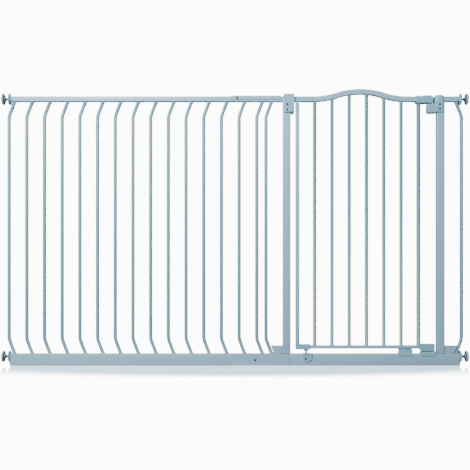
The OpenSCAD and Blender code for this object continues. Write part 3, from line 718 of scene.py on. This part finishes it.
LOWER_PIN_SEAT = (0.267, 0, 0.0623)
BOLT_SPRING_END = (0.7035, 0, 0.9975)
closing_spring = coil("torsion_spring", 0.0009, 0.0060, 0.0122, 5)
closing_spring.data.transform(Matrix.Translation(LOWER_PIN_SEAT))
fit(closing_spring, "door", "bright_zinc_steel", "door_closing_spring")
bolt_coil = coil("bolt_return_spring", 0.0005, 0.0034, 0.0125, 4)
along_rail = Matrix.Rotation(math.radians(90), 4, "Y")
bolt_coil.data.transform(Matrix.Translation(BOLT_SPRING_END) @ along_rail)
fit(bolt_coil, "door", "bright_zinc_steel", "bolt_spring")
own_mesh(bolt_coil)


# ---------------------------------------------------------------------------
# Wall fixings. A 10 mm rolled-thread spindle of dark steel, a plastic hand nut
# with a scalloped rim that turns against the end of the tube, and a pad: a
# plastic rim with a rubber seat for the spindle and a ribbed rubber face.

def lathe(name, profile, closed=False, vertices=48):
    """Turns (x, radius) points about the X axis. closed joins the last ring to the first."""
    bpy.ops.mesh.primitive_circle_add(vertices=vertices, radius=profile[0][1], fill_type="NOTHING",
                                      location=(profile[0][0], 0, 0),
                                      rotation=(0, math.radians(90), 0))
    piece = start_piece(name)
    for (x0, r0), (x1, r1) in zip(profile, profile[1:]):
        pull((x1 - x0, 0, 0))
        bpy.ops.transform.resize(value=(1, r1 / r0, r1 / r0))
    if closed:
        bpy.ops.mesh.select_mode(type="EDGE")
        bpy.ops.mesh.select_all(action="DESELECT")
        bpy.ops.mesh.select_non_manifold()
        bpy.ops.mesh.bridge_edge_loops()
        bpy.ops.mesh.select_mode(type="VERT")
    close_ends()
    return piece


THREAD_PITCH, THREAD_RINGS = 0.002, 37
CREST_R, ROOT_R, POINT_R = 0.0050, 0.0043, 0.0040
SPINDLE_LENGTH = 0.0780
thread = [(0.0, POINT_R)]
for i in range(THREAD_RINGS):
    start = i * THREAD_PITCH
    thread += [(0.0006 + start, CREST_R), (0.0012 + start, CREST_R), (0.0018 + start, ROOT_R)]
thread += [(SPINDLE_LENGTH - 0.0010, ROOT_R), (SPINDLE_LENGTH, POINT_R)]
spindle = finish_piece(lathe("threaded_spindle", thread, vertices=28), dark_zinc, 30)

# The rim has twelve scallops. Three rows of points beside the middle of each
# one are drawn in, the middle row most
RIM_POINTS, SCALLOPS, RIM_FROM = 96, 12, 0.0170
hand_nut = lathe("hand_nut", [
    (0.0001, 0.0056), (0.0001, 0.0190), (0.0006, 0.0207), (0.0016, 0.0217), (0.0032, 0.0220),
    (0.0049, 0.0217), (0.0060, 0.0207), (0.0066, 0.0190), (0.0066, 0.0150), (0.0058, 0.0136),
    (0.0056, 0.0098), (0.0069, 0.0090), (0.0069, 0.0062), (0.0065, 0.0056),
], closed=True, vertices=RIM_POINTS)
row_count = RIM_POINTS // SCALLOPS
for reach, ratio in ((0, 0.915), (1, 0.94), (2, 0.975)):
    bpy.ops.mesh.select_all(action="DESELECT")
    bpy.ops.object.mode_set(mode="OBJECT")
    for vertex in hand_nut.data.vertices:
        angle = math.degrees(math.atan2(vertex.co.z, vertex.co.y))
        row = round(angle / (360 / RIM_POINTS)) % row_count
        rim = math.hypot(vertex.co.y, vertex.co.z) > RIM_FROM
        vertex.select = rim and min(row, row_count - row) == reach
    bpy.ops.object.mode_set(mode="EDIT")
    bpy.ops.transform.resize(value=(1, ratio, ratio), center_override=(0.0035, 0, 0))
finish_piece(hand_nut, moulding, 45)

pad_cup = finish_piece(lathe("wall_pad_cup", [
    (0.0074, 0.0166), (0.0066, 0.0172), (0.0064, 0.0186), (0.0068, 0.0204), (0.0080, 0.0216),
    (0.0096, 0.0220), (0.0112, 0.0218), (0.0118, 0.0212),
]), moulding, 45)
pad_seat = finish_piece(lathe("wall_pad_seat", [
    (0.0, 0.0066), (0.0004, 0.0074), (0.0040, 0.0078), (0.0056, 0.0090), (0.0066, 0.0120),
    (0.0070, 0.0150), (0.0074, 0.0170), (0.0080, 0.0172),
]), rubber, 45)
pad_face = finish_piece(lathe("wall_pad_face", [
    (0.0110, 0.0180), (0.0117, 0.0207), (0.0128, 0.0207), (0.0136, 0.0200), (0.0140, 0.0186),
    (0.0140, 0.0170), (0.0134, 0.0164), (0.0134, 0.0150), (0.0140, 0.0144), (0.0140, 0.0118),
    (0.0134, 0.0112), (0.0134, 0.0098), (0.0140, 0.0092), (0.0140, 0.0060), (0.0134, 0.0054),
    (0.0134, 0.0010),
]), rubber, 35)

TOP_FIXING_Z, BOTTOM_FIXING_Z = 1.000, 0.033
SPINDLE_X, NUT_X, PAD_X = 0.7930, 0.844, 0.8610
for where, side, z in (
    ("top_left", -1, TOP_FIXING_Z),
    ("bottom_left", -1, BOTTOM_FIXING_Z),
    ("top_right", 1, TOP_FIXING_Z),
    ("bottom_right", 1, BOTTOM_FIXING_Z),
):
    corner = Matrix.Translation((0, 0, z)) @ Matrix.Scale(side, 4, (1, 0, 0))
    for piece, label, x, body, slot, node in (
        (spindle, "threaded_spindle", SPINDLE_X, "spindle_", "dark_zinc_steel", "spindle_"),
        (hand_nut, "scalloped_nut", NUT_X, "nut_", "moulded_plastic", "hand_nut_"),
        (pad_cup, "pad_cup", PAD_X, "spindle_", "moulded_plastic", "wall_pad_"),
        (pad_face, "pad_face", PAD_X, "spindle_", "moulded_plastic", "wall_pad_"),
        (pad_seat, "pad_seat", PAD_X, "spindle_", "moulded_plastic", "wall_pad_"),
    ):
        placed = another(piece, f"{label}_{where}", corner @ Matrix.Translation((x, 0, 0)))
        fit(placed, body + where, slot, node + where)
for piece in (spindle, hand_nut, pad_cup, pad_face, pad_seat):
    bpy.data.objects.remove(piece)


# ---------------------------------------------------------------------------
# Screws and bolts. Black-passivated pan-head screws with a cross recess hold
# the brackets, the handle and the upper hinge corner; button-head bolts with a
# hexagon socket go right through the rails to hexagon nuts at the back.

def cut_recess(screw, sides, radius, depth, top):
    """Sinks a cross or a hexagon into the head, which faces +X at x = top."""
    bpy.ops.object.mode_set(mode="OBJECT")
    cutters = []
    if sides == 4:
        slit = radius * 0.45
        for size in ((depth, radius * 2, slit), (depth, slit, radius * 2)):
            bpy.ops.mesh.primitive_cube_add(size=1, location=(top, 0, 0), scale=size)
            cutters.append(bpy.context.object)
    else:
        bpy.ops.mesh.primitive_cylinder_add(vertices=sides, radius=radius, depth=depth,
                                            location=(top, 0, 0),
                                            rotation=(0, math.radians(90), 0))
        cutters.append(bpy.context.object)
    for cutter in cutters:
        pick(screw)
        hollow = screw.modifiers.new("recess", "BOOLEAN")
        hollow.operation = "DIFFERENCE"
        hollow.object = cutter
        bpy.ops.object.modifier_apply(modifier="recess")
        bpy.data.objects.remove(cutter)


SCREW_R, SCREW_HEAD_R, SCREW_TOP = 0.0019, 0.0038, 0.0014
pan_screw = lathe("pan_screw", [
    (-0.0110, 0.0012), (-0.0104, SCREW_R), (-0.0002, SCREW_R), (0.0, 0.0036),
    (0.0003, SCREW_HEAD_R), (0.0007, SCREW_HEAD_R), (0.0010, 0.0034), (0.0013, 0.0025),
    (SCREW_TOP, 0.0012),
], vertices=32)
cut_recess(pan_screw, 4, 0.0019, 0.0012, SCREW_TOP)
finish_piece(pan_screw, dark_zinc, 35)
to_front = Matrix.Rotation(math.radians(-90), 4, "Z")
to_back = Matrix.Rotation(math.radians(90), 4, "Z")
downwards = Matrix.Rotation(math.radians(90), 4, "Y")


def screw_at(name, place, facing, twist=0.0, size=1.0):
    spin = Matrix.Rotation(twist, 4, "X") @ Matrix.Scale(size, 4)
    return another(pan_screw, name, Matrix.Translation(place) @ facing @ spin)


BRACKET_SCREWS = (
    (0.1955, -0.017, 0.9785), (0.1955, -0.017, 0.9585),
    (0.7665, -0.017, 0.9785), (0.7665, -0.017, 0.9625),
    (0.2645, -0.0155, 0.026),
)
HANDLE_SCREWS = ((0.687, 0.0116, 0.9865), (0.716, 0.0116, 0.9865))
screws = [screw_at(f"bracket_screw_{i}", place, to_front, 0.4 + 0.5 * i)
          for i, place in enumerate(BRACKET_SCREWS)]
fit(joined(screws, "bracket_pan_screws"), "frame", "dark_zinc_steel", "bracket_screws")
screws = [screw_at(f"handle_screw_{i}", place, to_back, 0.3 + i, 0.7)
          for i, place in enumerate(HANDLE_SCREWS)]
fit(joined(screws, "handle_pan_screws"), "door", "dark_zinc_steel", "handle_screws")
corner_screw = screw_at("upper_corner_screw", (0.2785, 0, 0.9885), downwards)
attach(corner_screw, "door")
bpy.data.objects.remove(pan_screw)


BOLT_R, BOLT_TOP, NUT_R, NUT_H = 0.0025, 0.0019, 0.0046, 0.003


def through_bolt(name, place, depth):
    """Button head on the front face, shank through the rail and a hexagon nut at the back."""
    head = lathe(name, [
        (-depth - NUT_H, 0.0019), (-depth - 0.0026, BOLT_R), (-0.0002, BOLT_R), (0.0, 0.0042),
        (0.0004, 0.0045), (0.0008, 0.0044), (0.0014, 0.0037), (0.0018, 0.0026),
        (BOLT_TOP, 0.0018),
    ], vertices=32)
    cut_recess(head, 6, 0.0016, 0.0020, BOLT_TOP)
    finish_piece(head, dark_zinc, 35)
    bpy.ops.mesh.primitive_cylinder_add(vertices=6, radius=NUT_R, depth=NUT_H,
                                        location=(-depth - NUT_H / 2, 0, 0),
                                        rotation=(0, math.radians(90), 0))
    nut = start_piece(name + "_nut")
    bpy.ops.mesh.bevel(offset=0.0004, segments=2, affect="EDGES")
    finish_piece(nut, dark_zinc, 35)
    bolt = joined([head, nut], name)
    bolt.data.transform(Matrix.Translation(place) @ to_front)
    return bolt


bolts = [
    through_bolt("top_connector_bolt", (0.008, -0.012, 1.004), 0.024),
    through_bolt("bottom_connector_bolt", (0.075, -0.0141, 0.0215), 0.0282),
]
fit(joined(bolts, "connector_through_bolts"), "frame", "dark_zinc_steel", "connector_bolts")
